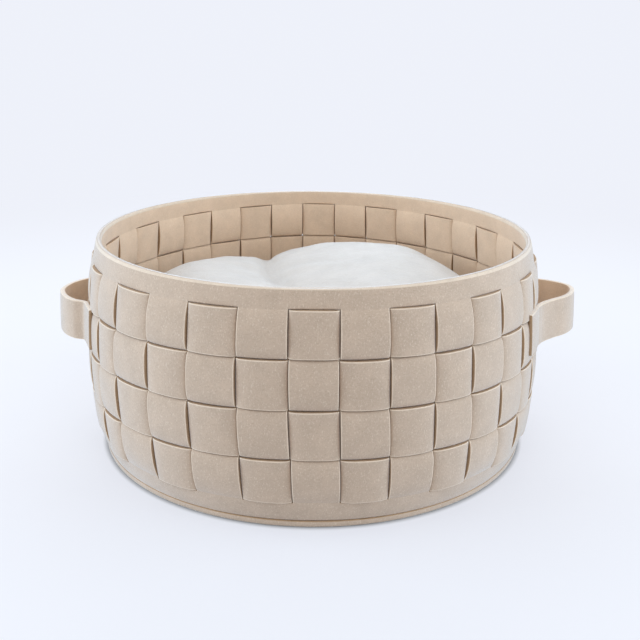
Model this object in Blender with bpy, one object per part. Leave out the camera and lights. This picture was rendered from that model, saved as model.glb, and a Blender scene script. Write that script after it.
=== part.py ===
"""Round woven felt basket bed for a cat, with two loop handles and a loose cushion.

Metres, +Z up. The bed stands on the plane z = 0 with its axis on Z. The front faces -Y and
the handles point along +X and -X. Every angle is measured round the wall from the front.
"""
import bmesh
import bpy
from math import cos, pi, radians, sin, sqrt

# Felt and weave
FELT = 0.0050            # thickness of the felt, the same in every cut piece
COLUMNS = 34             # upright slats round the wall
FRONT_EDGES = (-60.9, -51.1, -38.9, -27.6, -16.0, -4.9, 5.7, 16.5, 27.1, 37.3, 47.8, 58.1, 67.6)
BACK_SHIFT = 1.2         # degrees by which the slits at the back lie further round
FIRST_COLUMN = -5        # the hand-cut slats of the front begin with this column, the rest are even
LAYER_GAP = 0.00015      # half of the play between a slat and the weaver it crosses
CROSSING = 0.0009        # half height of the band in which a strip changes side
CUT = 0.0012             # half width of the slit between two strips
SHOULDER = 0.00175       # height of a strip's face where it dives under its neighbour
FLAT_SHARE = 0.6         # share of a square that is level between its shoulders
END_SHOULDER = 0.0033    # the same height where a slat leaves the rim or the foot band

# Heights of the wall, and the radius of its middle surface there
LEVELS = (
    # name, height, radius
    ("foot", 0.0053, 0.1866),
    ("row_4_bottom", 0.0220, 0.1910),
    ("row_3_bottom", 0.0590, 0.1943),
    ("row_2_bottom", 0.0980, 0.1950),
    ("row_1_bottom", 0.1360, 0.1930),
    ("row_1_top", 0.1720, 0.1889),
    ("rim", 0.1860, 0.1858),
)
FACET_EXCESS = 0.0004    # a column's corners stand this far outside the true circle
ROWS = 4

# Base disc
BASE_RADIUS = 0.1897
BASE_SIDES = 68
BASE_EDGE = 0.0008       # rounding of the disc's lower edge

# Handles: the middle line of one half of a strap, from the cut end to the middle of the loop
STRAP_HEIGHT = 0.0340
STRAP_PRESSED = 0.70     # share of the thickness left where a strap lies on the wall
STRAP_ON_WALL = 3        # line points from each end that lie on the wall
STRAP_STEPS = 3          # sections between two of the points below
RIGHT_LINE = (
    # outward from the axis, ahead of the handle's middle
    (0.1861, 0.0797),
    (0.1896, 0.0710),
    (0.1928, 0.0617),
    (0.1956, 0.0527),
    (0.1984, 0.0440),
    (0.2078, 0.0306),
    (0.2178, 0.0193),
    (0.2241, 0.0081),
    (0.2274, -0.0040),
    (0.2271, -0.0143),
    (0.2239, -0.0212),
    (0.2176, -0.0280),
    (0.2095, -0.0322),
    (0.1996, -0.0392),
    (0.1962, -0.0503),
    (0.1930, -0.0612),
    (0.1890, -0.0726),
)
LEFT_LINE = (
    (0.1916, 0.0653),
    (0.1941, 0.0575),
    (0.1964, 0.0492),
    (0.1996, 0.0405),
    (0.2067, 0.0334),
    (0.2133, 0.0258),
    (0.2188, 0.0152),
    (0.2222, 0.0017),
    (0.2218, -0.0086),
    (0.2188, -0.0191),
    (0.2141, -0.0268),
    (0.2080, -0.0336),
    (0.1996, -0.0405),
    (0.1962, -0.0502),
    (0.1934, -0.0600),
    (0.1902, -0.0694),
)
HANDLES = (
    # node, turn of its middle from the front, lower edge on the wall, line from front to back
    ("handle_left", -85.5, 0.1003, LEFT_LINE),
    ("handle_right", 84.5, 0.1040, RIGHT_LINE),
)

# Cushion
CUSHION_SIDES = 60
CUSHION_RADIUS = 0.178
CUSHION_FLOOR = 0.0054   # just clear of the base disc's upper face
CUSHION_BELT = 0.075     # height at which the cushion is widest
CUSHION_FLAT = 0.142     # radius of the part that lies flat
TOP_FLATNESS = 5.0       # a higher power gives a flatter top with steeper flanks
CROWN_LINE = (
    # distance to the right of the crease, height of the crown there
    (-0.170, 0.1510),
    (-0.120, 0.1500),
    (-0.080, 0.1490),
    (-0.045, 0.1440),
    (-0.018, 0.1390),
    (0.000, 0.1360),
    (0.012, 0.1395),
    (0.030, 0.1445),
    (0.055, 0.1505),
    (0.085, 0.1535),
    (0.115, 0.1560),
    (0.140, 0.1580),
    (0.170, 0.1510),
    (0.210, 0.1390),
)
CREASE_OFFSET = -0.030   # where the crease crosses the middle line
CREASE_SLANT = -0.30
CREASE_BEND = 1.2
TOP_RINGS = (0.07, 0.14, 0.21, 0.28, 0.36, 0.45, 0.55, 0.65, 0.75, 0.84, 0.92, 0.975)  # of the radius
LOW_RINGS = (
    # share of the way down from the belt, share of the way in to the flat
    (0.30, 0.06),
    (0.62, 0.26),
    (0.86, 0.58),
    (1.00, 1.00),
)

SHARP_ANGLE = 35.0       # faces that meet at more than this keep a hard edge
MATTE = 0.95
FELT_COLOUR = (0.60, 0.49, 0.38, 1.0)
PLUSH_COLOUR = (0.86, 0.85, 0.83, 1.0)


def clear_objects():
    """Remove whatever the scene holds."""
    for old in list(bpy.data.objects):
        bpy.data.objects.remove(old, do_unlink=True)


def make_material(name, colour, roughness):
    """A plain Principled material."""
    material = bpy.data.materials.new(name)
    material.use_nodes = True
    shader = material.node_tree.nodes["Principled BSDF"]
    shader.inputs["Base Color"].default_value = colour
    shader.inputs["Roughness"].default_value = roughness
    shader.inputs["Metallic"].default_value = 0.0
    return material


def add_piece(name, points, faces, material):
    """Make one closed object, with its faces turned outward."""
    mesh = bpy.data.meshes.new(name)
    mesh.from_pydata(points, [], faces)
    piece = bpy.data.objects.new(name, mesh)
    bpy.context.scene.collection.objects.link(piece)
    turn_outward(mesh)
    mesh.materials.append(material)
    mesh.shade_smooth()
    mesh.set_sharp_from_angle(angle=radians(SHARP_ANGLE))
    return piece


def turn_outward(mesh):
    """Make the winding of all faces agree and point out."""
    work = bmesh.new()
    work.from_mesh(mesh)
    bmesh.ops.recalc_face_normals(work, faces=work.faces)
    work.to_mesh(mesh)
    work.free()


# The wall's surface

def middle_radius(height):
    """Radius of the wall's middle surface, straight between two levels."""
    for (_, low, radius_low), (_, high, radius_high) in zip(LEVELS, LEVELS[1:]):
        if height <= high:
            share = (height - low) / (high - low)
            return radius_low + share * (radius_high - radius_low)
    return LEVELS[-1][2]


def column_edge(column):
    """Turn of the edge where this column begins."""
    index = (column - FIRST_COLUMN) % COLUMNS
    laps = (column - FIRST_COLUMN) // COLUMNS
    known = len(FRONT_EDGES) - 1
    if index <= known:
        edge = FRONT_EDGES[index]
    else:
        rest = FRONT_EDGES[0] + 360.0 - FRONT_EDGES[-1]
        share = (index - known) / (COLUMNS - known)
        edge = FRONT_EDGES[-1] + rest * share + BACK_SHIFT * sin(pi * share)
    return radians(edge + 360.0 * laps)


def column_turns(column):
    """Turn of a column's middle, and half of its width as an angle."""
    begin = column_edge(column)
    end = column_edge(column + 1)
    return (begin + end) / 2, (end - begin) / 2


def wall_point(column, across, height, lift):
    """A point of one flat column: across from -1 to 1, and lift outward from the middle surface.

    across reaches 1 where two columns meet.
    """
    turn, half_turn = column_turns(column)
    corner = middle_radius(height) + FACET_EXCESS
    outward = corner * cos(half_turn) + lift
    sideways = across * corner * sin(half_turn)
    x = outward * sin(turn) + sideways * cos(turn)
    y = -outward * cos(turn) + sideways * sin(turn)
    return (x, y, height)


def edge_share(column, height, margin):
    """The value of across that lies a margin short of the next column."""
    half_turn = column_turns(column)[1]
    half_width = (middle_radius(height) + FACET_EXCESS) * sin(half_turn)
    return 1.0 - margin / half_width


def slat_is_out(column, row):
    """Plain weave: the slats of even columns pass outside the weavers of rows 2 and 4."""
    return (column + row) % 2 == 0


def strip_lifts(is_out, share):
    """Lifts of the outer and the inner face; share is 1 on the flat and 0 at the dive."""
    height = SHOULDER + share * (FELT + LAYER_GAP - SHOULDER)
    if is_out:
        return height, LAYER_GAP
    return -LAYER_GAP, -height


def row_span(row):
    """Lower and upper height of a row; row 1 is the top one."""
    return LEVELS[ROWS - row + 1][1], LEVELS[ROWS - row + 2][1]


def slat_stations(column):
    """Heights along one slat, foot to rim, with the lifts of its two faces."""
    band = (FELT / 2, -FELT / 2)
    stations = [(LEVELS[0][1], band), (LEVELS[1][1], band)]
    for row in range(ROWS, 0, -1):
        low, high = row_span(row)
        is_out = slat_is_out(column, row)
        inset = (1.0 - FLAT_SHARE) / 2 * (high - low)
        ends = [strip_lifts(is_out, 0.0), strip_lifts(is_out, 0.0)]
        if row == ROWS:
            ends[0] = (END_SHOULDER, LAYER_GAP) if is_out else (-LAYER_GAP, -END_SHOULDER)
        if row == 1:
            ends[1] = (END_SHOULDER, LAYER_GAP) if is_out else (-LAYER_GAP, -END_SHOULDER)
        stations.append((low + CROSSING, ends[0]))
        stations.append((low + inset, strip_lifts(is_out, 1.0)))
        stations.append((high - inset, strip_lifts(is_out, 1.0)))
        stations.append((high - CROSSING, ends[1]))
    stations.append((LEVELS[-2][1], band))
    stations.append((LEVELS[-1][1], band))
    return stations


def make_wall(material):
    """The wall: one sheet slit into slats between a foot band and a rim band."""
    points = []
    faces = []
    count = len(slat_stations(0))

    def corner(column, station, side, face):
        """Index of a vertex: side 0 is left, 1 is right; face 0 is outer, 1 is inner."""
        return (((column % COLUMNS) * count + station) * 2 + side) * 2 + face

    for column in range(COLUMNS):
        for height, lifts in slat_stations(column):
            reach = edge_share(column, height, CUT)
            for side in (-1, 1):
                for lift in lifts:
                    points.append(wall_point(column, side * reach, height, lift))

    first, last = 1, count - 2      # stations where the slits begin and end
    for column in range(COLUMNS):
        for station in range(count - 1):
            for face in (0, 1):
                faces.append((corner(column, station, 0, face), corner(column, station, 1, face),
                              corner(column, station + 1, 1, face), corner(column, station + 1, 0, face)))
            if first <= station < last:
                for side in (0, 1):
                    faces.append((corner(column, station, side, 0), corner(column, station, side, 1),
                                  corner(column, station + 1, side, 1), corner(column, station + 1, side, 0)))
            else:
                for face in (0, 1):
                    faces.append((corner(column, station, 1, face), corner(column + 1, station, 0, face),
                                  corner(column + 1, station + 1, 0, face), corner(column, station + 1, 1, face)))
        for station in (0, count - 1):
            faces.append((corner(column, station, 0, 0), corner(column, station, 1, 0),
                          corner(column, station, 1, 1), corner(column, station, 0, 1)))
        for station in (0, first, last, count - 1):
            faces.append((corner(column, station, 1, 0), corner(column + 1, station, 0, 0),
                          corner(column + 1, station, 0, 1), corner(column, station, 1, 1)))
    return add_piece("wall", points, faces, material)


def close_ring(sections):
    """Quads between neighbouring sections of a closed ring; each section has the same corners."""
    size = len(sections[0])
    faces = []
    for index in range(len(sections)):
        following = (index + 1) % len(sections)
        for turn in range(size):
            beside = (turn + 1) % size
            faces.append((index * size + turn, index * size + beside,
                          following * size + beside, following * size + turn))
    return [point for section in sections for point in section], faces


def make_weaver(row, material):
    """One level strip, woven round the wall through the slats and joined to itself."""
    low, high = row_span(row)
    low += CUT
    high -= CUT
    sections = []
    for column in range(COLUMNS):
        is_out = not slat_is_out(column, row)
        for across, share in ((-1, 0.0), (-FLAT_SHARE, 1.0), (FLAT_SHARE, 1.0), (1, 0.0)):
            outer, inner = strip_lifts(is_out, share)
            section = []
            for height, lift in ((low, outer), (high, outer), (high, inner), (low, inner)):
                reach = across * edge_share(column, height, CROSSING)
                section.append(wall_point(column, reach, height, lift))
            sections.append(section)
    points, faces = close_ring(sections)
    return add_piece("weaver_%d" % row, points, faces, material)


# Base disc

def make_base(material):
    """The round base that the wall stands on, flush with its foot."""
    outline = ((BASE_RADIUS - BASE_EDGE, 0.0), (BASE_RADIUS, BASE_EDGE), (BASE_RADIUS, FELT))
    points = []
    for radius, height in outline:
        for side in range(BASE_SIDES):
            turn = 2 * pi * side / BASE_SIDES
            points.append((radius * sin(turn), -radius * cos(turn), height))
    faces = [tuple(range(BASE_SIDES)), tuple(range(2 * BASE_SIDES, 3 * BASE_SIDES))]
    for ring in range(len(outline) - 1):
        for side in range(BASE_SIDES):
            beside = (side + 1) % BASE_SIDES
            faces.append((ring * BASE_SIDES + side, ring * BASE_SIDES + beside,
                          (ring + 1) * BASE_SIDES + beside, (ring + 1) * BASE_SIDES + side))
    return add_piece("base", points, faces, material)


# Handles

def smooth_line(controls, steps):
    """A smooth open line through the controls, with steps sections between two of them."""
    line = []
    ends = [controls[0]] + list(controls) + [controls[-1]]
    for before, here, there, after in zip(ends, ends[1:], ends[2:], ends[3:]):
        for step in range(steps):
            t = step / steps
            line.append(tuple(
                0.5 * (2 * b + (c - a) * t + (2 * a - 5 * b + 4 * c - d) * t * t
                       + (3 * b - a - 3 * c + d) * t ** 3)
                for a, b, c, d in zip(before, here, there, after)))
    line.append(tuple(controls[-1]))
    return line


def make_handle(name, middle, strap_low, line_points, material):
    """One strap, flat on the wall at both cut ends and bowed out between them."""
    line = smooth_line(line_points, STRAP_STEPS)
    level = strap_low + STRAP_HEIGHT / 2
    turn = radians(middle)
    forward = -1 if middle > 0 else 1
    points = []
    for index, (out, ahead) in enumerate(line):
        before = line[max(index - 1, 0)]
        after = line[min(index + 1, len(line) - 1)]
        along = (after[0] - before[0], after[1] - before[1])
        length = sqrt(along[0] ** 2 + along[1] ** 2)
        normal = (-along[1] / length, along[0] / length)
        from_end = min(index, len(line) - 1 - index) / STRAP_STEPS
        freed = min(max(from_end - STRAP_ON_WALL, 0.0), 1.0)
        outer = FELT * (STRAP_PRESSED + (1.0 - STRAP_PRESSED) * freed) - FELT / 2
        for low, lift in ((0, outer), (1, outer), (1, -FELT / 2), (0, -FELT / 2)):
            height = strap_low + low * STRAP_HEIGHT
            lean = 1.0 + (middle_radius(height) - middle_radius(level)) / out
            outward = (out + normal[0] * lift) * lean
            sideways = (ahead + normal[1] * lift) * lean * forward
            x = outward * sin(turn) + sideways * cos(turn)
            y = -outward * cos(turn) + sideways * sin(turn)
            points.append((x, y, height))
    faces = [(0, 1, 2, 3), tuple(len(points) - 4 + corner for corner in range(4))]
    for index in range(len(line) - 1):
        for corner in range(4):
            beside = (corner + 1) % 4
            faces.append((index * 4 + corner, index * 4 + beside,
                          index * 4 + 4 + beside, index * 4 + 4 + corner))
    return add_piece(name, points, faces, material)


# Cushion

def crown_height(off):
    """Height of the crown at this distance to the right of the crease."""
    off = min(max(off, CROWN_LINE[0][0]), CROWN_LINE[-1][0])
    for (left, height_left), (right, height_right) in zip(CROWN_LINE, CROWN_LINE[1:]):
        if off <= right:
            share = (off - left) / (right - left)
            return height_left + share * (height_right - height_left)
    return CROWN_LINE[-1][1]


def cushion_top(x, y):
    """Height of the cushion's upper face: a full right lobe, a slacker left one, a crease."""
    share = min(sqrt(x * x + y * y) / CUSHION_RADIUS, 1.0)
    crease = CREASE_OFFSET + CREASE_SLANT * y + CREASE_BEND * y * y
    crown = crown_height(x - crease)
    return CUSHION_BELT + (crown - CUSHION_BELT) * sqrt(1.0 - share ** TOP_FLATNESS)


def make_cushion(material):
    """One filled solid: crowned above, drawn in at the sides, flat where it lies."""
    rings = []
    for share in TOP_RINGS:
        ring = []
        for side in range(CUSHION_SIDES):
            turn = 2 * pi * side / CUSHION_SIDES
            x = share * CUSHION_RADIUS * sin(turn)
            y = -share * CUSHION_RADIUS * cos(turn)
            ring.append((x, y, cushion_top(x, y)))
        rings.append(ring)
    lower = [(0.0, 0.0)] + list(LOW_RINGS)
    for down, inward in lower:
        radius = CUSHION_RADIUS + inward * (CUSHION_FLAT - CUSHION_RADIUS)
        height = CUSHION_BELT + down * (CUSHION_FLOOR - CUSHION_BELT)
        ring = []
        for side in range(CUSHION_SIDES):
            turn = 2 * pi * side / CUSHION_SIDES
            ring.append((radius * sin(turn), -radius * cos(turn), height))
        rings.append(ring)
    points = [point for ring in rings for point in ring]
    faces = []
    for ring in range(len(rings) - 1):
        for side in range(CUSHION_SIDES):
            beside = (side + 1) % CUSHION_SIDES
            faces.append((ring * CUSHION_SIDES + side, ring * CUSHION_SIDES + beside,
                          (ring + 1) * CUSHION_SIDES + beside, (ring + 1) * CUSHION_SIDES + side))
    peak = len(points)
    points.append((0.0, 0.0, cushion_top(0.0, 0.0)))
    for side in range(CUSHION_SIDES):
        faces.append((peak, side, (side + 1) % CUSHION_SIDES))
    last = (len(rings) - 1) * CUSHION_SIDES
    faces.append(tuple(last + side for side in range(CUSHION_SIDES)))
    return add_piece("cushion", points, faces, material)


def build():
    """Make every piece of the bed."""
    clear_objects()
    felt = make_material("felt", FELT_COLOUR, MATTE)
    plush = make_material("plush", PLUSH_COLOUR, MATTE)
    make_wall(felt)
    for row in range(1, ROWS + 1):
        make_weaver(row, felt)
    make_base(felt)
    for name, middle, strap_low, line_points in HANDLES:
        make_handle(name, middle, strap_low, line_points, felt)
    make_cushion(plush)


build()
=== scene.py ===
"""Round basket bed for a cat: a wall woven from thick felt, two loop handles and a plush cushion.

Metres, +Z up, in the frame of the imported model. The bed stands on z = 0 with its axis on Z,
its front faces -Y and its handles stand out to +X and -X. Turns are measured from the front.
"""

from math import cos, exp, pi, radians, sin, sqrt

import bmesh
import bpy
from mathutils import Matrix, Vector, noise


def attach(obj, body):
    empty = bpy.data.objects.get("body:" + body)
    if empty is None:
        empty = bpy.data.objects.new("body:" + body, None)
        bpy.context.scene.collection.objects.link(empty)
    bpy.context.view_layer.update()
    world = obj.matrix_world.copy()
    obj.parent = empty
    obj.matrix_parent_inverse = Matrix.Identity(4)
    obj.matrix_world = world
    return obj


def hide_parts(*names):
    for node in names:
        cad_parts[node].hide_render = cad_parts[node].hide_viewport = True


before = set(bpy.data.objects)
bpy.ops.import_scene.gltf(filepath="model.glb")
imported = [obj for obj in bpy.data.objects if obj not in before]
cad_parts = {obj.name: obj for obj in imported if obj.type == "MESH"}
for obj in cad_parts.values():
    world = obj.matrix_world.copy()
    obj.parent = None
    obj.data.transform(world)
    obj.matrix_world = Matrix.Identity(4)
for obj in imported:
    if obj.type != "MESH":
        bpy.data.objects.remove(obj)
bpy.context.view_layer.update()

MM = 0.001                   # one millimetre in metres

# Felt and weave
FELT = 5.0 * MM              # thickness of the sheet
COLUMNS = 34
FRONT_EDGES = (-60.9, -51.1, -38.9, -27.6, -16.0, -4.9, 5.7, 16.5, 27.1, 37.3, 47.8, 58.1, 67.6)
FIRST_COLUMN = -5            # the slat that begins at the first of these hand-cut slits
BACK_SHIFT = 0.7             # degrees by which the even slits at the back lie further round
ROWS = 4
LAYER_GAP = 0.15 * MM        # half of the play between a slat and the weaver it crosses
SLIT = 0.6 * MM              # half width of the slit between two strips
SLIT_LEAST = 0.15 * MM       # the same where an uneven cut makes it narrowest
DIVE = 2.3 * MM              # height of a strip's face where it dives under its neighbour
SLAT_END = 3.3 * MM          # the same in the middle of a slat, pressed on the weaver's edge
BOW_POWER = 3.4              # a higher power gives a flatter square with steeper ends
BOW_ROUND = 0.62             # a lower power gives a square that turns down more sharply
BAND_EASE = 0.9              # a lower power keeps a slat out longer where it runs into its band
CUT_ROUND = 0.45 * MM        # rounding of the cut edges
ROUND_SHARE = 0.45           # the most that this rounding takes of a strip's thickness
CROWN = 0.15 * MM            # a strip's middle stands this far above its cut edges
RIM_ROUND = 0.9 * MM         # rounding of the wall's upper and lower edge
SECTION_GAP = 0.004          # keeps a weaver's sections apart where two squares meet
LEVELS = (
    # name, height, radius of the middle of the felt
    ("foot", 0.0053, 0.1866),
    ("row_4_bottom", 0.0220, 0.1910),
    ("row_3_bottom", 0.0590, 0.1943),
    ("row_2_bottom", 0.0980, 0.1950),
    ("row_1_bottom", 0.1360, 0.1930),
    ("row_1_top", 0.1720, 0.1889),
    ("rim", 0.1860, 0.1858),
)
WALL_LINE = [(height, radius) for _, height, radius in LEVELS]
FOOT = LEVELS[0][1]
SLITS_BEGIN = LEVELS[1][1]
SLITS_END = LEVELS[-2][1]
RIM = LEVELS[-1][1]
SLIT_LEAN = (
    # height, turn in degrees by which the slits lean there
    (0.000, 0.55),
    (0.022, 0.50),
    (0.059, 0.20),
    (0.098, -0.20),
    (0.136, -0.28),
    (0.186, -0.20),
)

# Sag of the rows towards the sides
ROW_SAG = 5.2 * MM           # depth of the sag at the sides
ROW_LIFT = 1.15 * MM         # how far all rows are lifted against it
SAG_POWER = 0.45             # a lower power lets the sag begin nearer to the front
SAG_START = 0.01             # rounds the rows off where the sag begins, in front and behind
SAG_FADE = 0.2               # a lower power keeps the sag further towards the foot and the rim

# Places of the points across and along the strips
EDGE_STEPS = (0.0, 0.1 * MM, 0.25 * MM, 0.45 * MM, 0.75 * MM)   # inward from a cut edge
FACE_STEPS = (-0.84, -0.6, -0.3, 0.0, 0.3, 0.6, 0.84)            # across the rest of a face
ROW_STEPS = (-1.0, -0.975, -0.93, -0.85, -0.7, -0.45, -0.15,
             0.15, 0.45, 0.7, 0.85, 0.93, 0.975, 1.0)            # along one square
FOOT_TURNS = (90, 55, 25, 0)                                     # round the wall's lower edge
FOOT_STEPS = (0.35, 0.7, 0.93, 1.0)                              # up the foot band
RIM_STEPS = (0.0, 0.07, 0.3, 0.65)                               # up the rim band
RIM_TURNS = (0, 25, 50, 72, 90)                                  # round the wall's upper edge

# Irregularities of the hand-made weave: start in the noise, pace along the strip, reach
SLAT_PROUD = (0.5, 2.3, 0.5 * MM)
SLAT_NARROW = (11, 20, 0.35 * MM)
SLAT_WAVER = (31, 12, 0.35 * MM)
WEAVER_PROUD = (60, 5.1, 0.5 * MM)
WEAVER_NARROW = (71, 4, 0.25 * MM)
WEAVER_WAVER = (83, 5, 0.35 * MM)
NOISE_STEPS = (3.7, 1.3)     # how far apart two strips lie in the noise, both ways

# Base disc
BASE_RADIUS = 189.7 * MM
BASE_ROUND = 1.1 * MM        # rounding of its lower edge
BASE_TOP_ROUND = 0.5 * BASE_ROUND          # rounding of its upper edge
BASE_SIDES = 8 * COLUMNS
BASE_RINGS = (0.04, 0.5, 0.9)              # shares of its radius on both faces
BASE_LOWER_TURNS = (0, 30, 60, 90)         # round its lower edge
BASE_UPPER_TURNS = (0, 45, 90)             # round its upper edge

# Handles: middle line of each strap, from its front cut end to its back one
STRAP_HEIGHT = 34.0 * MM
STRAP_THICKNESS = 4.1 * MM
STRAP_PRESSED = 0.80         # share of the thickness left where a strap lies on the wall
STRAP_ON_WALL = 3            # spans of its line at each end that lie on the wall
STRAP_STEPS = 7              # sections in one span, from one line point to the next
RIGHT_LINE = (
    # outward from the axis, ahead of the handle's middle
    (0.1845, 0.0790),
    (0.1880, 0.0702),
    (0.1910, 0.0612),
    (0.1937, 0.0523),
    (0.1972, 0.0425),
    (0.2076, 0.0306),
    (0.2187, 0.0198),
    (0.2259, 0.0086),
    (0.2297, -0.0040),
    (0.2292, -0.0143),
    (0.2252, -0.0216),
    (0.2176, -0.0280),
    (0.2095, -0.0322),
    (0.1986, -0.0388),
    (0.1947, -0.0499),
    (0.1914, -0.0606),
    (0.1874, -0.0720),
)
LEFT_LINE = (
    # outward from the axis, ahead of the handle's middle
    (0.1899, 0.0647),
    (0.1924, 0.0570),
    (0.1948, 0.0488),
    (0.1988, 0.0388),
    (0.2067, 0.0328),
    (0.2133, 0.0254),
    (0.2188, 0.0150),
    (0.2225, 0.0017),
    (0.2219, -0.0086),
    (0.2188, -0.0191),
    (0.2141, -0.0268),
    (0.2080, -0.0336),
    (0.1988, -0.0400),
    (0.1947, -0.0498),
    (0.1917, -0.0595),
    (0.1885, -0.0688),
)
HANDLES = (
    # piece, node, turn of its middle from the front, lower edge on the wall, line
    ("felt_handle_left", "handle_left", -85.5, 100.3 * MM, LEFT_LINE),
    ("felt_handle_right", "handle_right", 84.5, 104.0 * MM, RIGHT_LINE),
)

# Cushion
CUSHION_RADIUS = 176.0 * MM
CUSHION_FLOOR = 5.6 * MM     # height at which it lies
CUSHION_BELT = 75.0 * MM     # height at which it is widest
CUSHION_FLAT = 140.0 * MM    # radius of its flat underside
CUSHION_SIDES = 96
CUSHION_RINGS = (0.04, 0.12, 0.2, 0.28, 0.36, 0.44, 0.52, 0.6,
                 0.68, 0.75, 0.82, 0.88, 0.93, 0.97, 0.99)       # shares of its radius on top
CUSHION_FLANK = (
    # share of the way down from the belt, share of the way in to the flat underside
    (0.0, 0.0),
    (0.15, 0.01),
    (0.35, 0.08),
    (0.62, 0.26),
    (0.86, 0.58),
    (1.0, 1.0),
)
TOP_FLATNESS = 5.0           # a higher power gives a flatter top with steeper flanks
CROWN_LINE = (
    # distance to the right of the crease, height of the crown there
    (-0.170, 0.1510),
    (-0.120, 0.1500),
    (-0.080, 0.1490),
    (-0.045, 0.1440),
    (-0.018, 0.1395),
    (0.000, 0.1380),
    (0.012, 0.1400),
    (0.030, 0.1445),
    (0.055, 0.1510),
    (0.085, 0.1535),
    (0.115, 0.1560),
    (0.140, 0.1580),
    (0.170, 0.1510),
    (0.210, 0.1390),
)
CREASE_OFFSET = -0.030       # where the crease crosses the line from handle to handle
CREASE_SLANT = -0.30         # its slant there
CREASE_BEND = 1.2            # its bend, per metre
CREASE_DEPTH = 6.0 * MM
CREASE_WIDTH = 7.0 * MM
GROOVE = 4.5 * MM            # depth of the tucked line in the crease
GROOVE_WIDTH = 6.0 * MM

# Filling of the cushion
VOXEL = 5.5 * MM             # size of its faces before they are divided
SMOOTHINGS = 4
FILL_PRESSURE = 4.0
FILL_FRAMES = 20
SWELL_MOST = 9.0 * MM        # the furthest that the cloth may move as it fills
HELD_FLOOR = 3.0 * MM        # height above the underside that is held as it fills

# Puckers of the plush: height of each kind, and how quickly it changes
RUFFLE_FLOOR = 4.0 * MM      # height above the underside that stays smooth
BROAD_LIFT = 2.0 * MM
BROAD_PACE = (16, 16, 10)
FOLD_LIFT = 2.2 * MM
FOLD_REACH = 45.0 * MM       # how far from the crease its folds run
FOLD_ACROSS = 26             # pace of the folds across the crease
FOLD_ALONG = 60              # the same along the bed, from front to back
FOLD_SLANT = 30              # how much they slant away from the crease
FOLD_LAYER = 7.0             # where in the noise they lie
SMALL_LIFT = 0.5 * MM
SMALL_PACE = (70, 70, 70)

# Camera
CAMERA_PLACE = (0.0, -0.7918, 0.3637)
CAMERA_DOWN = 18.33
CAMERA_TURN = -0.432
CAMERA_ROLL = 0.54
CAMERA_LENS = 51.36
SENSOR_WIDTH = 36.0
SEEN_FROM = 0.05
SEEN_TO = 200.0

# Studio
BACKDROP = (0.858, 0.882, 0.955, 1.0)
BLACK = (0.0, 0.0, 0.0, 1.0)
FLOOR_REACH = 60.0
FLOOR_COLOUR = (0.41, 0.415, 0.425, 1.0)
FLOOR_GLOW = (0.42, 0.43, 0.48, 1.0)
FLOOR_ROUGHNESS = 0.9
CONTACT_SHADE = 5.0 * MM     # width of the painted contact shadow round the base
FLOOR_FADE = (0.30, 1.2)     # distances between which the floor turns into backdrop
FLOOR_BOUNCE = 0.55          # share of the floor's glow that lights the bed
SKY_COLOUR = (0.97, 0.985, 1.0, 1.0)
SKY_STRENGTH = 0.72
LIGHTS_AIM = (0.0, 0.0, 0.1)
LIGHTS = (
    # name, place, size, power, colour
    ("side_left", (-1.4, -0.10, 0.46), (1.2, 0.9), 15.5, (0.70, 0.85, 1.0)),
    ("side_right", (1.4, -0.14, 0.40), (1.2, 0.9), 14.5, (0.70, 0.85, 1.0)),
    ("above", (0.0, -0.35, 1.7), (1.4, 1.0), 3.0, (1.0, 0.98, 0.95)),
    ("behind", (0.0, 1.3, 0.9), (1.4, 0.8), 7.0, (0.95, 0.97, 1.0)),
    ("front", (0.0, -1.2, 1.1), (1.6, 1.0), 2.2, (1.0, 0.98, 0.95)),
)

# Cloth colours: face, flecks, shades
FACE_COLOURS = ((0.565, 0.44, 0.338, 1), (0.86, 0.76, 0.65, 1), (0.43, 0.325, 0.24, 1))
# Painted light: a lighter, warmer copy of the face felt for the inner side of every strip, standing in
# for the light that falls and bounces inside the bed
INSIDE_LIT_COLOURS = ((0.76, 0.58, 0.425, 1), (0.92, 0.79, 0.65, 1), (0.61, 0.455, 0.325, 1))
# Painted highlight: a lighter cream felt for the rounded cut edges, the rim's rounded top and the
# straps' edges, standing in for the light these edges catch
EDGE_HIGHLIGHT_COLOURS = ((0.75, 0.62, 0.49, 1), (0.87, 0.77, 0.66, 1), (0.61, 0.49, 0.37, 1))
# Painted shade: a darker brown felt for the cut faces of the slits and weavers, the straps' cut ends,
# the wall's underside and the base's upper edge, standing in for the shade there
CUT_SHADE_COLOURS = ((0.42, 0.28, 0.17, 1), (0.54, 0.40, 0.28, 1), (0.32, 0.21, 0.12, 1))
PLUSH_COLOURS = ((0.665, 0.64, 0.615, 1), (0.73, 0.705, 0.68, 1), (0.59, 0.56, 0.535, 1))
CLOTHS = (
    # material, colours, grain and mottle scale, fleck and shade amount, relief and its depth, sheen
    ("felt_face", FACE_COLOURS, (1250.0, 60.0), (0.45, 0.5), (0.4, 0.5 * MM), 1.0),
    ("felt_edge", EDGE_HIGHLIGHT_COLOURS, (1100.0, 90.0), (0.6, 0.4), (0.4, 0.5 * MM), 1.0),
    ("felt_cut", CUT_SHADE_COLOURS, (1000.0, 120.0), (0.5, 0.5), (0.5, 0.6 * MM), 0.2),
    ("felt_inside", INSIDE_LIT_COLOURS, (1250.0, 60.0), (0.4, 0.4), (0.4, 0.5 * MM), 0.5),
    ("plush", PLUSH_COLOURS, (500.0, 40.0), (0.5, 0.25), (0.5, 1.2 * MM), 0.5),
)
CLOTH_ROUGHNESS = 0.95
CLOTH_SPECULAR = 0.2
SHEEN_ROUGHNESS = 0.4
SHEEN_TINT = (0.88, 0.94, 1.0, 1.0)

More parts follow.
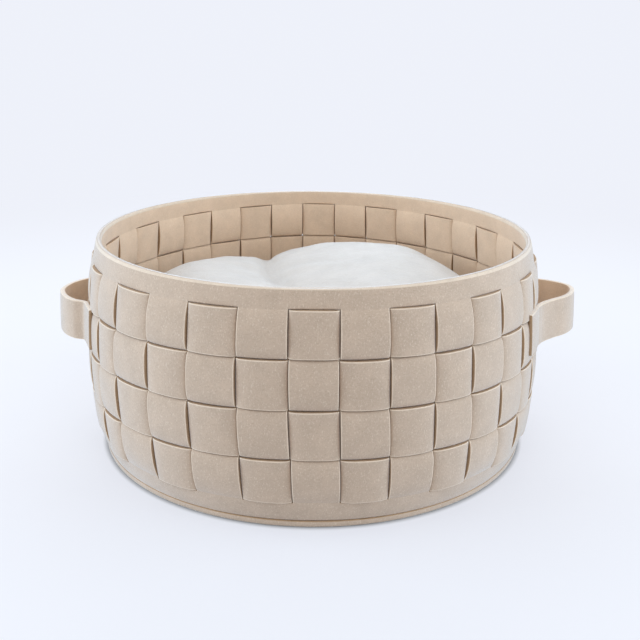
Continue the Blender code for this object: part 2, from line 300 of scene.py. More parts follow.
# Fibres in the cloth
UPRIGHT_STRETCH = (1.0, 1.0, 0.45)
LEVEL_STRETCH = (0.4, 0.4, 1.1)
LEVEL_OFFSET = (3.0, 1.0, 2.0)
FIBRE_DETAIL = 3.0
FIBRE_ROUGHNESS = 0.65
MOTTLE_ROUGHNESS = 0.6
FLECK_BAND = (0.52, 0.72)    # part of the noise in which the flecks come up
SHADE_BAND = (0.50, 0.70)
MOTTLE_BAND = (0.3, 0.7)
MOTTLE_TONES = (0.94, 1.06)  # darkest and lightest tone of the mottle
FIBRE_INPUTS = (
    ("Colour", "NodeSocketColor"),
    ("Fleck Colour", "NodeSocketColor"),
    ("Shade Colour", "NodeSocketColor"),
    ("Grain Scale", "NodeSocketFloat"),
    ("Mottle Scale", "NodeSocketFloat"),
    ("Fleck Amount", "NodeSocketFloat"),
    ("Shade Amount", "NodeSocketFloat"),
)

# Material slots of a felt piece, and the two sides of the felt: the edge slot holds painted highlight,
# the cut slot painted shade and the inside slot painted light
FACE, EDGE_HIGHLIGHT, CUT_SHADE, INSIDE_LIT = 0, 1, 2, 3
FELT_SLOTS = ("felt_face", "felt_edge", "felt_cut", "felt_inside")
OUTER, INNER = 0, 1
ACROSS = 2 * len(EDGE_STEPS) + len(FACE_STEPS)


# Lines and meshes

def smooth_rise(table, value):
    """A smooth line through (place, height) pairs."""
    places = [pair[0] for pair in table]
    heights = [pair[1] for pair in table]
    slopes = []
    last = len(table) - 1
    for index in range(last + 1):
        low = max(index - 1, 0)
        high = min(index + 1, last)
        slopes.append((heights[high] - heights[low]) / (places[high] - places[low]))
    value = min(max(value, places[0]), places[-1])
    index = 0
    while index < last - 1 and value > places[index + 1]:
        index += 1
    span = places[index + 1] - places[index]
    t = (value - places[index]) / span
    return ((2 * t ** 3 - 3 * t ** 2 + 1) * heights[index]
            + (t ** 3 - 2 * t ** 2 + t) * span * slopes[index]
            + (3 * t ** 2 - 2 * t ** 3) * heights[index + 1]
            + (t ** 3 - t ** 2) * span * slopes[index + 1])


def smooth_line(controls, steps):
    """A smooth open line through the controls, with this many sections between two of them."""
    line = []
    ends = [controls[0]] + list(controls) + [controls[-1]]
    for before, here, there, after in zip(ends, ends[1:], ends[2:], ends[3:]):
        for step in range(steps):
            t = step / steps
            line.append(tuple(
                0.5 * (2 * b + (c - a) * t + (2 * a - 5 * b + 4 * c - d) * t * t
                       + (3 * b - a - 3 * c + d) * t ** 3)
                for a, b, c, d in zip(before, here, there, after)))
    line.append(tuple(controls[-1]))
    return line


def add_object(name, data):
    """Put this data into the scene as an object."""
    made = bpy.data.objects.new(name, data)
    bpy.context.scene.collection.objects.link(made)
    return made


def new_piece(name, points, faces, materials, slots=None):
    """One closed object with smooth faces turned outward."""
    mesh = bpy.data.meshes.new(name)
    mesh.from_pydata([tuple(point) for point in points], [], faces)
    for material in materials:
        mesh.materials.append(material)
    if slots:
        mesh.polygons.foreach_set("material_index", slots)
    work = bmesh.new()
    work.from_mesh(mesh)
    bmesh.ops.recalc_face_normals(work, faces=work.faces)
    work.to_mesh(mesh)
    work.free()
    mesh.shade_smooth()
    return add_object(name, mesh)


def turned_faces(rings, sides):
    """Faces of a turned shape, ring after ring, and the two caps that close it."""
    faces = []
    for ring in range(rings - 1):
        here = ring * sides
        there = here + sides
        for side in range(sides):
            beside = (side + 1) % sides
            faces.append((here + side, here + beside, there + beside, there + side))
    for ring in (0, rings - 1):
        faces.append(tuple(ring * sides + side for side in range(sides)))
    return faces


def across_places(half):
    """Places across a strip of this half width, each with its distance from the cut edge."""
    inner = half - EDGE_STEPS[-1]
    places = [(-half + step, step) for step in EDGE_STEPS]
    places += [(share * inner, half - abs(share * inner)) for share in FACE_STEPS]
    places += [(half - step, step) for step in reversed(EDGE_STEPS)]
    return places


def across_slot(sample, side):
    """Material slot of the face between two neighbouring samples across a strip."""
    # The inner side takes the inside felt, painted light; the rounded cut edges of the outer side take
    # the edge felt, a painted highlight
    if side == INNER:
        return INSIDE_LIT
    rounded = len(EDGE_STEPS) - 1
    at_edge = sample < rounded or sample >= ACROSS - 1 - rounded
    return EDGE_HIGHLIGHT if at_edge else FACE


def strip_faces(count, closed=True, edge_slot=CUT_SHADE):
    """Faces and slots of a strip of this many sections, each with an outer and an inner row."""
    faces = []
    slots = []
    size = 2 * ACROSS
    end = ACROSS - 1
    for index in range(count if closed else count - 1):
        here = index * size
        there = ((index + 1) % count) * size
        for side in (OUTER, INNER):
            row = side * ACROSS
            for sample in range(end):
                faces.append((here + row + sample, here + row + sample + 1,
                              there + row + sample + 1, there + row + sample))
                slots.append(across_slot(sample, side))
        # The cut sides take the given slot, painted shade unless a highlight slot is given; the cut
        # ends take painted shade
        for sample in (0, end):
            faces.append((here + sample, here + ACROSS + sample,
                          there + ACROSS + sample, there + sample))
            slots.append(edge_slot)
    if not closed:
        for start in (0, (count - 1) * size):
            for sample in range(end):
                faces.append((start + sample, start + sample + 1,
                              start + ACROSS + sample + 1, start + ACROSS + sample))
                slots.append(CUT_SHADE)
    return faces, slots


def edge_drop(distance, rounding):
    """How far a face falls away at this distance from a rounded cut edge."""
    if distance >= rounding:
        return 0.0
    return rounding - sqrt(max(rounding ** 2 - (rounding - distance) ** 2, 0.0))


# Weave

def wall_radius(height):
    """Radius of the middle of the wall's felt."""
    return smooth_rise(WALL_LINE, height)


def wall_point(turn, height, lift):
    """A point of the wall, lift outward from the middle of the felt."""
    radius = wall_radius(height) + lift
    share = (height - FOOT) / (RIM - FOOT)
    between = (4 * max(share * (1 - share), 0.0)) ** SAG_FADE
    sag = (ROW_SAG * (sin(turn) ** 2 + SAG_START) ** SAG_POWER - ROW_LIFT) * between
    turn += radians(smooth_rise(SLIT_LEAN, height))
    return Vector((radius * sin(turn), -radius * cos(turn), height - sag))


def stray(habit, strip, place):
    """A small steady irregularity of one strip at a place along it."""
    start, pace, reach = habit
    seed = strip + start
    spot = Vector((seed * NOISE_STEPS[0], place * pace, seed * NOISE_STEPS[1]))
    return reach * noise.noise(spot)


def column_edge(column):
    """Turn of the edge where this column begins."""
    index = (column - FIRST_COLUMN) % COLUMNS
    laps = (column - FIRST_COLUMN) // COLUMNS
    known = len(FRONT_EDGES) - 1
    if index <= known:
        edge = FRONT_EDGES[index]
    else:
        rest = FRONT_EDGES[0] + 360.0 - FRONT_EDGES[-1]
        share = (index - known) / (COLUMNS - known)
        edge = FRONT_EDGES[-1] + rest * share + BACK_SHIFT * sin(pi * share)
    return radians(edge + 360.0 * laps)


def column_turns(column):
    """Turn of a column's middle, and half of its width as an angle."""
    begin = column_edge(column)
    end = column_edge(column + 1)
    return (begin + end) / 2, (end - begin) / 2


def slat_is_out(column, row):
    """Plain weave: which strip of this square is on the outside."""
    return (column + row) % 2 == 0


def row_span(row):
    """Lower and upper height of a row; row 1 is the top one."""
    return LEVELS[ROWS - row + 1][1], LEVELS[ROWS - row + 2][1]


def bow(u):
    """How far a strip has risen out of its dive, u running from -1 to 1 along a square."""
    return max(1.0 - abs(u) ** BOW_POWER, 0.0) ** BOW_ROUND


def strip_lifts(is_out, rise, proud, dive=DIVE):
    """Lifts of a strip's outer and inner face."""
    high = dive + rise * (FELT + LAYER_GAP + proud - dive)
    if is_out:
        return high, LAYER_GAP
    return -LAYER_GAP, -high


def strip_rounding(lifts):
    """Rounding of a strip's cut edges, smaller where the strip is pressed thin."""
    outer, inner = lifts
    return min(CUT_ROUND, ROUND_SHARE * (outer - inner))


def shaped_lift(side, lifts, is_out, u, share, drop):
    """Lift of one side of a strip, rounded off at its cut edges and crowned where it shows."""
    outer, inner = lifts
    crown = CROWN * (1 - share ** 2) * bow(u)
    if side == OUTER:
        return outer - drop + (crown if is_out else 0.0)
    return inner + drop - (0.0 if is_out else crown)


def slat_lifts(column, row, u, share):
    """Lifts of the outer and inner face of one slat at this share of its half width."""
    is_out = slat_is_out(column, row)
    proud = stray(SLAT_PROUD, column, row)
    dive = DIVE + (SLAT_END - DIVE) * sqrt(max(1 - share * share, 0.0))
    outer, inner = strip_lifts(is_out, bow(u), proud, dive)
    runs_into_rim = row == 1 and u > 0
    runs_into_foot = row == ROWS and u < 0
    if runs_into_rim or runs_into_foot:
        ease = (1 - u * u) ** BAND_EASE
        high = FELT / 2 + ease * (FELT / 2 + LAYER_GAP + proud)
        if is_out:
            outer = high
        else:
            inner = -high
    return outer, inner


def slat_lift(side, column, row, u, share, distance):
    """Lift of one side of a slat at one place across it."""
    rounding = strip_rounding(slat_lifts(column, row, u, 1.0))
    lifts = slat_lifts(column, row, u, share)
    drop = edge_drop(distance, rounding)
    return shaped_lift(side, lifts, slat_is_out(column, row), u, share, drop)


def band_lift(side, around):
    """Lift of one side of the rim or foot band, this many degrees round its edge."""
    lift = FELT / 2 - RIM_ROUND * (1 - cos(radians(around)))
    return lift if side == OUTER else -lift


# Wall

def wall_stations():
    """Places up the wall: height, row or None in a band, then u in a row or degrees in a band."""
    stations = []
    for turn in FOOT_TURNS:
        stations.append((FOOT + RIM_ROUND * (1 - cos(radians(90 - turn))), None, turn))
    start = FOOT + RIM_ROUND
    for share in FOOT_STEPS:
        stations.append((start + share * (SLITS_BEGIN - start), None, 0))
    for row in range(ROWS, 0, -1):
        low, high = row_span(row)
        middle = (low + high) / 2
        half = (high - low) / 2 - SLIT
        for u in ROW_STEPS:
            stations.append((middle + u * half, row, u))
    for share in RIM_STEPS:
        stations.append((SLITS_END + share * (RIM - RIM_ROUND - SLITS_END), None, 0))
    for turn in RIM_TURNS:
        stations.append((RIM - RIM_ROUND * (1 - sin(radians(turn))), None, turn))
    return stations


def wall_points(stations):
    """Points of the wall, column by column, station by station, outer side before inner side."""
    points = []
    for column in range(COLUMNS):
        centre, half_turn = column_turns(column)
        for height, row, u in stations:
            radius = wall_radius(height)
            gap = SLIT + stray(SLAT_NARROW, column, height)
            half = radius * half_turn - max(gap, SLIT_LEAST)
            waver = stray(SLAT_WAVER, column, height)
            for side in (OUTER, INNER):
                for across, distance in across_places(half):
                    share = across / half
                    turn = centre + (across + waver * (1 - share ** 2)) / radius
                    if row is None:
                        lift = band_lift(side, u)
                    else:
                        lift = slat_lift(side, column, row, u, share, distance)
                    points.append(wall_point(turn, height, lift))
    return points


def band_slot(side, is_rounding):
    """Material slot of a face in the rim or foot band."""
    # The rounded top of the rim takes the edge felt, a painted highlight, and the inner side the
    # inside felt, painted light
    if is_rounding:
        return EDGE_HIGHLIGHT
    return INSIDE_LIT if side == INNER else FACE


def wall_faces(stations):
    """Faces and slots of the wall: slats with slits between them, and a closed band at each end."""
    count = len(stations)
    end = ACROSS - 1
    woven = [index for index, (_, row, _) in enumerate(stations) if row is not None]
    first = woven[0] - 1
    last = woven[-1] + 1
    faces = []
    slots = []

    def add_face(slot, *corners):
        """One face, its corners given as column, station, sample and side."""
        faces.append(tuple(
            (((column % COLUMNS) * count + station) * 2 + side) * ACROSS + sample
            for column, station, sample, side in corners))
        slots.append(slot)

    for column in range(COLUMNS):
        beside = column + 1
        for station in range(count - 1):
            up = station + 1
            in_slit = first <= station < last
            is_rounding = station >= count - len(RIM_TURNS)
            for sample in range(end):
                for side in (OUTER, INNER):
                    if in_slit:
                        slot = across_slot(sample, side)
                    else:
                        slot = band_slot(side, is_rounding)
                    add_face(slot, (column, station, sample, side),
                             (column, station, sample + 1, side),
                             (column, up, sample + 1, side), (column, up, sample, side))
            # The slits' cut sides take painted shade
            if in_slit:
                for sample in (0, end):
                    add_face(CUT_SHADE, (column, station, sample, OUTER), (column, station, sample, INNER),
                             (column, up, sample, INNER), (column, up, sample, OUTER))
            else:
                for side in (OUTER, INNER):
                    add_face(band_slot(side, is_rounding),
                             (column, station, end, side), (beside, station, 0, side),
                             (beside, up, 0, side), (column, up, end, side))
        # The underside of the foot band and the faces that close the slits take painted shade; the
        # rim's top face takes plain face felt
        for station, slot in ((0, CUT_SHADE), (count - 1, FACE)):
            for sample in range(end):
                add_face(slot, (column, station, sample, OUTER), (column, station, sample + 1, OUTER),
                         (column, station, sample + 1, INNER), (column, station, sample, INNER))
        for station, slot in ((0, CUT_SHADE), (first, CUT_SHADE), (last, CUT_SHADE), (count - 1, FACE)):
            add_face(slot, (column, station, end, OUTER), (beside, station, 0, OUTER),
                     (beside, station, 0, INNER), (column, station, end, INNER))
    return faces, slots


def make_wall(materials):
    """The wall: a rim band and a foot band joined by upright slats."""
    stations = wall_stations()
    faces, slots = wall_faces(stations)
    return new_piece("felt_wall", wall_points(stations), faces, materials, slots)


def make_weaver(row, materials):
    """One level strip woven round the wall and joined to itself."""
    low, high = row_span(row)
    middle = (low + high) / 2
    points = []
    for column in range(COLUMNS):
        is_out = not slat_is_out(column, row)
        proud = stray(WEAVER_PROUD, column, row)
        centre, half_turn = column_turns(column)
        for u in ROW_STEPS:
            turn = centre + half_turn * u * (1 - SECTION_GAP)
            lifts = strip_lifts(is_out, bow(u), proud)
            half = (high - low) / 2 - SLIT + stray(WEAVER_NARROW, row, turn)
            waver = stray(WEAVER_WAVER, row, turn)
            rounding = strip_rounding(lifts)
            for side in (OUTER, INNER):
                for across, distance in across_places(half):
                    drop = edge_drop(distance, rounding)
                    lift = shaped_lift(side, lifts, is_out, u, across / half, drop)
                    points.append(wall_point(turn, middle + waver + across, lift))
    faces, slots = strip_faces(COLUMNS * len(ROW_STEPS))
    return new_piece("felt_weaver_%d" % row, points, faces, materials, slots)


# Base disc

def make_base(materials):
    """The felt disc under the wall, with a softly rounded cut edge."""
    outline = [(share * BASE_RADIUS, 0.0) for share in BASE_RINGS]
    for turn in BASE_LOWER_TURNS:
        around = radians(turn)
        outline.append((BASE_RADIUS - BASE_ROUND * (1 - sin(around)),
                        BASE_ROUND * (1 - cos(around))))
    for turn in BASE_UPPER_TURNS:
        around = radians(turn)
        outline.append((BASE_RADIUS - BASE_TOP_ROUND * (1 - cos(around)),
                        FELT - BASE_TOP_ROUND * (1 - sin(around))))
    outline += [(share * BASE_RADIUS, FELT) for share in reversed(BASE_RINGS)]
    points = []
    for radius, height in outline:
        for side in range(BASE_SIDES):
            turn = 2 * pi * side / BASE_SIDES
            points.append((radius * sin(turn), -radius * cos(turn), height))
    faces = turned_faces(len(outline), BASE_SIDES)
    # The rings round its upper edge, in the shade of the wall, take painted shade
    shade_begin = (len(BASE_RINGS) + len(BASE_LOWER_TURNS)) * BASE_SIDES
    shade_end = shade_begin + len(BASE_UPPER_TURNS) * BASE_SIDES
    slots = [CUT_SHADE if shade_begin <= index < shade_end else FACE for index in range(len(faces))]
    return new_piece("felt_base", points, faces, materials, slots)


# Handles

def make_handle(name, middle, strap_low, line_points, materials):
    """One strap, flat on the wall at its cut ends and bowed out between them."""
    line = smooth_line(line_points, STRAP_STEPS)
    half = STRAP_HEIGHT / 2
    level = strap_low + half
    turn = radians(middle)
    forward = -1 if middle > 0 else 1
    points = []
    last = len(line) - 1
    for index, (out, ahead) in enumerate(line):
        before = line[max(index - 1, 0)]
        after = line[min(index + 1, last)]
        along = (after[0] - before[0], after[1] - before[1])
        length = sqrt(along[0] ** 2 + along[1] ** 2)
        normal = (-along[1] / length, along[0] / length)
        from_end = min(index, last - index) / STRAP_STEPS
        freed = min(max(from_end - STRAP_ON_WALL, 0.0), 1.0)
        thickness = STRAP_THICKNESS * (STRAP_PRESSED + (1.0 - STRAP_PRESSED) * freed)
        outer = FELT / 2 * freed + (thickness - FELT / 2) * (1.0 - freed)
        for side in (OUTER, INNER):
            for across, distance in across_places(half):
                drop = edge_drop(distance, CUT_ROUND)
                lift = outer - drop if side == OUTER else outer - thickness + drop
                height = level + across
                lean = 1.0 + (wall_radius(height) - wall_radius(level)) / out
                outward = (out + normal[0] * lift) * lean
                sideways = (ahead + normal[1] * lift) * lean * forward
                x = outward * sin(turn) + sideways * cos(turn)
                y = -outward * cos(turn) + sideways * sin(turn)
                points.append((x, y, height))
    # The straps' cut sides take the edge felt, a painted highlight, and their cut ends painted shade
    faces, slots = strip_faces(len(line), closed=False, edge_slot=EDGE_HIGHLIGHT)
    return new_piece(name, points, faces, materials, slots)


def strap_length(line_points):
    """Length along a strap."""
    line = smooth_line(line_points, STRAP_STEPS)
    return sum(sqrt((b[0] - a[0]) ** 2 + (b[1] - a[1]) ** 2) for a, b in zip(line, line[1:]))


# Cushion

def crease_line(y):
    """Where the crease between the two lobes runs."""
    return CREASE_OFFSET + CREASE_SLANT * y + CREASE_BEND * y * y


def near_crease(off, width):
    """1 in the crease, falling away to nothing over this width on each side."""
    return exp(-(off / width) ** 2)


def cushion_top(x, y):
    """Height of the upper face: a full right lobe, a slacker left one and a crease."""
    share = min(sqrt(x * x + y * y) / CUSHION_RADIUS, 1.0)
    off = x - crease_line(y)
    crown = smooth_rise(CROWN_LINE, off)
    dent = CREASE_DEPTH * near_crease(off, CREASE_WIDTH) * (1.0 - share ** 3)
    fullness = sqrt(max(1.0 - share ** TOP_FLATNESS, 0.0))
    return CUSHION_BELT + (crown - dent - CUSHION_BELT) * fullness


def cushion_shell():
    """Points and faces of the cushion before it is filled."""
    outline = [(share, None) for share in CUSHION_RINGS]
    for down, inward in CUSHION_FLANK:
        outline.append((1.0 + inward * (CUSHION_FLAT / CUSHION_RADIUS - 1.0),
                        CUSHION_BELT + down * (CUSHION_FLOOR - CUSHION_BELT)))
    points = []
    for share, height in outline:
        for side in range(CUSHION_SIDES):
            turn = 2 * pi * side / CUSHION_SIDES
            x = share * CUSHION_RADIUS * sin(turn)
            y = -share * CUSHION_RADIUS * cos(turn)
            points.append((x, y, cushion_top(x, y) if height is None else height))
    return points, turned_faces(len(outline), CUSHION_SIDES)


def evaluated_copy(piece):
    """A plain mesh of the piece with its modifiers applied."""
    graph = bpy.context.evaluated_depsgraph_get()
    return bpy.data.meshes.new_from_object(piece.evaluated_get(graph), depsgraph=graph)


def apply_modifiers(piece):
    """Keep the shape that the piece's modifiers give, and drop them."""
    shaped = evaluated_copy(piece)
    piece.modifiers.clear()
    piece.data = shaped


def blow_up(piece):
    """Fill the shell as a cloth bag, held still at its underside and in its crease."""
    held = piece.vertex_groups.new(name="held")
    for vertex in piece.data.vertices:
        x, y, z = vertex.co
        tucked = near_crease(x - crease_line(y), CREASE_WIDTH) if z > CUSHION_BELT else 0.0
        low = 1.0 if z < CUSHION_FLOOR + HELD_FLOOR else 0.0
        held.add([vertex.index], max(tucked, low), "REPLACE")
    settings = piece.modifiers.new("filled", "CLOTH").settings
    settings.use_pressure = True
    settings.uniform_pressure_force = FILL_PRESSURE
    settings.vertex_group_mass = "held"
    settings.effector_weights.gravity = 0.0
    scene = bpy.context.scene
    for step in range(1, FILL_FRAMES + 1):
        scene.frame_set(step)
    swollen = evaluated_copy(piece)
    scene.frame_set(1)
    piece.modifiers.clear()
    for vertex, moved in zip(piece.data.vertices, swollen.vertices):
        shift = moved.co - vertex.co
        if shift.length > SWELL_MOST:
            shift *= SWELL_MOST / shift.length
        vertex.co += shift


def fill_cushion(piece):
    """Remesh the shell in even faces, blow it up a little and lay it flat."""
    remesh = piece.modifiers.new("remesh", "REMESH")
    remesh.mode = "VOXEL"
    remesh.voxel_size = VOXEL
    remesh.use_smooth_shade = True
    apply_modifiers(piece)
    smooth = piece.modifiers.new("smooth", "SMOOTH")
    smooth.iterations = SMOOTHINGS
    apply_modifiers(piece)
    blow_up(piece)
    for vertex in piece.data.vertices:
        vertex.co.z = max(vertex.co.z, CUSHION_FLOOR)
    piece.data.shade_smooth()
    divide = piece.modifiers.new("divide", "SUBSURF")
    divide.levels = 1
    divide.render_levels = 1


def noise_at(x, y, z, pace):
    """Noise that changes at this pace along each axis."""
    return noise.noise(Vector((x * pace[0], y * pace[1], z * pace[2])))


def ruffle(mesh):
    """Soft puckers and dimples of stuffed plush."""
    for vertex in mesh.vertices:
        x, y, z = vertex.co
        if z < CUSHION_FLOOR + RUFFLE_FLOOR:
            continue
        off = x - crease_line(y)
        near = near_crease(off, FOLD_REACH)
        broad = noise_at(x, y, z, BROAD_PACE)
        small = noise_at(x, y, z, SMALL_PACE)
        folds = noise.noise(Vector((off * FOLD_ACROSS, y * FOLD_ALONG + off * FOLD_SLANT, FOLD_LAYER)))
        lift = BROAD_LIFT * broad + FOLD_LIFT * near * folds + SMALL_LIFT * small
        if z > CUSHION_BELT:
            lift -= GROOVE * near_crease(off, GROOVE_WIDTH)
        vertex.co += vertex.normal * lift


def make_cushion(materials):
    """One filled plush cushion."""
    points, faces = cushion_shell()
    piece = new_piece("plush_cushion", points, faces, materials)
    fill_cushion(piece)
    piece.data.materials.clear()
    for material in materials:
        piece.data.materials.append(material)
    ruffle(piece.data)
    return piece


# Materials

def node(tree, kind, **values):
    """Add a shader node and set its properties and sockets by name."""
    made = tree.nodes.new(kind)
    for name, value in values.items():
        if hasattr(made, name):
            setattr(made, name, value)
        else:
            made.inputs[name.replace("_", " ")].default_value = value
    return made


def fibre_noise(group, place, scale, stretch, offset):
    """Fine noise drawn out one way, as fibres lie."""
    drawn = node(group, "ShaderNodeMapping", vector_type="POINT", Location=offset, Scale=stretch)
    fibres = node(group, "ShaderNodeTexNoise", Detail=FIBRE_DETAIL, Roughness=FIBRE_ROUGHNESS)
    group.links.new(place, drawn.inputs["Vector"])
    group.links.new(drawn.outputs["Vector"], fibres.inputs["Vector"])
    group.links.new(scale, fibres.inputs["Scale"])
    return fibres.outputs["Fac"]


def fibre_mask(group, fibres, band, amount):
    """The fibres that come up in this band of the noise, as strong as the amount."""
    mask = node(group, "ShaderNodeMapRange", interpolation_type="SMOOTHSTEP",
                From_Min=band[0], From_Max=band[1])
    weighed = node(group, "ShaderNodeMath", operation="MULTIPLY")
    group.links.new(fibres, mask.inputs["Value"])
    group.links.new(mask.outputs["Result"], weighed.inputs[0])
    group.links.new(amount, weighed.inputs[1])
    return weighed.outputs["Value"]


def fibre_group():
    """Fibres pressed into cloth: a mottled colour with light and dark flecks, and its relief."""
    group = bpy.data.node_groups.new("pressed_fibres", "ShaderNodeTree")
    for name, kind in FIBRE_INPUTS:
        group.interface.new_socket(name, in_out="INPUT", socket_type=kind)
    group.interface.new_socket("Colour", in_out="OUTPUT", socket_type="NodeSocketColor")
    group.interface.new_socket("Relief", in_out="OUTPUT", socket_type="NodeSocketFloat")
    link = group.links.new
    start = group.nodes.new("NodeGroupInput")
    finish = group.nodes.new("NodeGroupOutput")
    place = group.nodes.new("ShaderNodeTexCoord").outputs["Object"]

    grain = start.outputs["Grain Scale"]
    upright = fibre_noise(group, place, grain, UPRIGHT_STRETCH, (0.0, 0.0, 0.0))
    level = fibre_noise(group, place, grain, LEVEL_STRETCH, LEVEL_OFFSET)
    flecks = fibre_mask(group, upright, FLECK_BAND, start.outputs["Fleck Amount"])
    shades = fibre_mask(group, level, SHADE_BAND, start.outputs["Shade Amount"])

    mottle = node(group, "ShaderNodeTexNoise", Detail=FIBRE_DETAIL, Roughness=MOTTLE_ROUGHNESS)
    link(place, mottle.inputs["Vector"])
    link(start.outputs["Mottle Scale"], mottle.inputs["Scale"])
    tone = node(group, "ShaderNodeMapRange", From_Min=MOTTLE_BAND[0], From_Max=MOTTLE_BAND[1],
                To_Min=MOTTLE_TONES[0], To_Max=MOTTLE_TONES[1])
    link(mottle.outputs["Fac"], tone.inputs["Value"])
    toned = node(group, "ShaderNodeMix", data_type="RGBA", blend_type="MULTIPLY", Factor=1.0)
    link(start.outputs["Colour"], toned.inputs["A"])
    link(tone.outputs["Result"], toned.inputs["B"])

    shaded = node(group, "ShaderNodeMix", data_type="RGBA")
    link(shades, shaded.inputs["Factor"])
    link(toned.outputs["Result"], shaded.inputs["A"])
    link(start.outputs["Shade Colour"], shaded.inputs["B"])
    flecked = node(group, "ShaderNodeMix", data_type="RGBA")
    link(flecks, flecked.inputs["Factor"])
    link(shaded.outputs["Result"], flecked.inputs["A"])
    link(start.outputs["Fleck Colour"], flecked.inputs["B"])
    link(flecked.outputs["Result"], finish.inputs["Colour"])

    relief = node(group, "ShaderNodeMath", operation="ADD")
    link(upright, relief.inputs[0])
    link(level, relief.inputs[1])
    link(relief.outputs["Value"], finish.inputs["Relief"])
    return group


def cloth_material(name, group, colours, scales, amounts, relief, sheen):
    """A matte cloth with fibres in its colour and its surface."""
    material = bpy.data.materials.new(name)
    material.use_nodes = True
    tree = material.node_tree
    shader = tree.nodes["Principled BSDF"]
    shader.inputs["Roughness"].default_value = CLOTH_ROUGHNESS
    shader.inputs["Specular IOR Level"].default_value = CLOTH_SPECULAR
    shader.inputs["Sheen Weight"].default_value = sheen
    shader.inputs["Sheen Roughness"].default_value = SHEEN_ROUGHNESS
    shader.inputs["Sheen Tint"].default_value = SHEEN_TINT
    fibres = tree.nodes.new("ShaderNodeGroup")
    fibres.node_tree = group
    for (socket, _), value in zip(FIBRE_INPUTS, (*colours, *scales, *amounts)):
        fibres.inputs[socket].default_value = value
    bump = node(tree, "ShaderNodeBump", Strength=relief[0], Distance=relief[1])
    tree.links.new(fibres.outputs["Colour"], shader.inputs["Base Color"])
    tree.links.new(fibres.outputs["Relief"], bump.inputs["Height"])
    tree.links.new(bump.outputs["Normal"], shader.inputs["Normal"])
    return material


# Studio

def floor_paint():
    """Pale paint with a painted contact shadow round the base, that fades into the backdrop further
    out.
    """
    paint = bpy.data.materials.new("pale_floor")
    paint.use_nodes = True
    tree = paint.node_tree
    link = tree.links.new
    shader = tree.nodes["Principled BSDF"]
    shader.inputs["Roughness"].default_value = FLOOR_ROUGHNESS
    shader.inputs["Specular IOR Level"].default_value = 0.0

    place = tree.nodes.new("ShaderNodeTexCoord")
    reach = node(tree, "ShaderNodeVectorMath", operation="LENGTH")
    link(place.outputs["Object"], reach.inputs[0])
    fade = node(tree, "ShaderNodeMapRange", interpolation_type="SMOOTHSTEP",
                From_Min=FLOOR_FADE[0], From_Max=FLOOR_FADE[1])
    link(reach.outputs["Value"], fade.inputs["Value"])
    # Painted contact shadow: the glow dims to black at the base's edge
    contact_shadow = node(tree, "ShaderNodeMapRange", interpolation_type="SMOOTHSTEP",
                   From_Min=BASE_RADIUS - BASE_ROUND, From_Max=BASE_RADIUS + CONTACT_SHADE)
    link(reach.outputs["Value"], contact_shadow.inputs["Value"])

    paper = node(tree, "ShaderNodeMix", data_type="RGBA", A=FLOOR_COLOUR, B=BLACK)
    link(fade.outputs["Result"], paper.inputs["Factor"])
    link(paper.outputs["Result"], shader.inputs["Base Color"])
    shade = node(tree, "ShaderNodeMix", data_type="RGBA", A=BLACK, B=FLOOR_GLOW)
    link(contact_shadow.outputs["Result"], shade.inputs["Factor"])
    glow = node(tree, "ShaderNodeMix", data_type="RGBA", B=BACKDROP)
    link(shade.outputs["Result"], glow.inputs["A"])
    link(fade.outputs["Result"], glow.inputs["Factor"])
    link(glow.outputs["Result"], shader.inputs["Emission Color"])

    seen = tree.nodes.new("ShaderNodeLightPath")
    strength = node(tree, "ShaderNodeMapRange", To_Min=FLOOR_BOUNCE)
    link(seen.outputs["Is Camera Ray"], strength.inputs["Value"])
    link(strength.outputs["Result"], shader.inputs["Emission Strength"])
    return paint


def make_floor():
    """A plain pale floor that fades into the pale surroundings."""
    corners = [(x * FLOOR_REACH, y * FLOOR_REACH, 0) for x, y in ((-1, -1), (1, -1), (1, 1), (-1, 1))]
    mesh = bpy.data.meshes.new("studio_floor")
    mesh.from_pydata(corners, [], [(0, 1, 2, 3)])
    mesh.materials.append(floor_paint())
    add_object("studio_floor", mesh)


def make_light(name, place, size, power, colour):
    """A soft square light, turned to the bed."""
    lamp = bpy.data.lights.new(name, "AREA")
    lamp.shape = "RECTANGLE"
    lamp.size = size[0]
    lamp.size_y = size[1]
    lamp.energy = power
    lamp.color = colour
    holder = add_object(name, lamp)
    holder.location = place
    towards = Vector(LIGHTS_AIM) - Vector(place)
    holder.rotation_euler = towards.to_track_quat("-Z", "Y").to_euler()


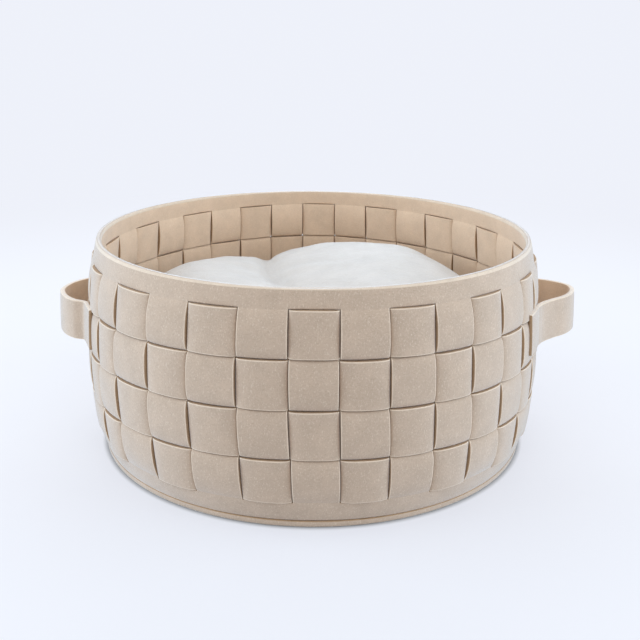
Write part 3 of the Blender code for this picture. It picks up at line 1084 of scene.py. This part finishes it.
def make_studio():
    """Pale surroundings and five broad soft lights."""
    world = bpy.data.worlds.new("studio")
    bpy.context.scene.world = world
    world.use_nodes = True
    tree = world.node_tree
    light = tree.nodes["Background"]
    light.inputs["Color"].default_value = SKY_COLOUR
    light.inputs["Strength"].default_value = SKY_STRENGTH
    seen = node(tree, "ShaderNodeBackground", Color=BACKDROP, Strength=1.0)
    path = tree.nodes.new("ShaderNodeLightPath")
    choose = tree.nodes.new("ShaderNodeMixShader")
    tree.links.new(path.outputs["Is Camera Ray"], choose.inputs["Fac"])
    tree.links.new(light.outputs["Background"], choose.inputs[1])
    tree.links.new(seen.outputs["Background"], choose.inputs[2])
    tree.links.new(choose.outputs["Shader"], tree.nodes["World Output"].inputs["Surface"])
    for name, place, size, power, colour in LIGHTS:
        make_light(name, place, size, power, colour)
    bpy.context.scene.view_settings.view_transform = "Standard"
    bpy.context.scene.view_settings.look = "None"


def make_camera():
    """The camera where the photograph was taken from."""
    lens = bpy.data.cameras.new("view")
    lens.lens = CAMERA_LENS
    lens.sensor_width = SENSOR_WIDTH
    lens.sensor_fit = "HORIZONTAL"
    lens.clip_start = SEEN_FROM
    lens.clip_end = SEEN_TO
    camera = add_object("view", lens)
    turned = (Matrix.Rotation(radians(CAMERA_TURN), 4, "Z")
              @ Matrix.Rotation(radians(90.0 - CAMERA_DOWN), 4, "X")
              @ Matrix.Rotation(radians(CAMERA_ROLL), 4, "Z"))
    camera.matrix_world = Matrix.Translation(CAMERA_PLACE) @ turned
    bpy.context.scene.camera = camera


# Whole bed

def build():
    """Make every piece, hide the model part that it replaces and hang it on the root body."""
    make_camera()
    make_floor()
    make_studio()
    fibres = fibre_group()
    cloths = {name: cloth_material(name, fibres, *look) for name, *look in CLOTHS}
    felt = [cloths[name] for name in FELT_SLOTS]

    wall = make_wall(felt)
    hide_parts("wall")
    weavers = [make_weaver(row, felt) for row in range(1, ROWS + 1)]
    for row, weaver in enumerate(weavers, 1):
        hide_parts("weaver_%d" % row)
    base = make_base(felt)
    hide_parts("base")
    straps = []
    for name, solid, middle, strap_low, line_points in HANDLES:
        strap = make_handle(name, middle, strap_low, line_points, felt)
        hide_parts(solid)
        straps.append((strap, strap_length(line_points)))
    cushion = make_cushion([cloths["plush"]])
    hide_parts("cushion")

    for piece in [wall, base] + weavers + [strap for strap, _ in straps]:
        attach(piece, "root")
    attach(cushion, "root")


build()
bpy.context.view_layer.update()
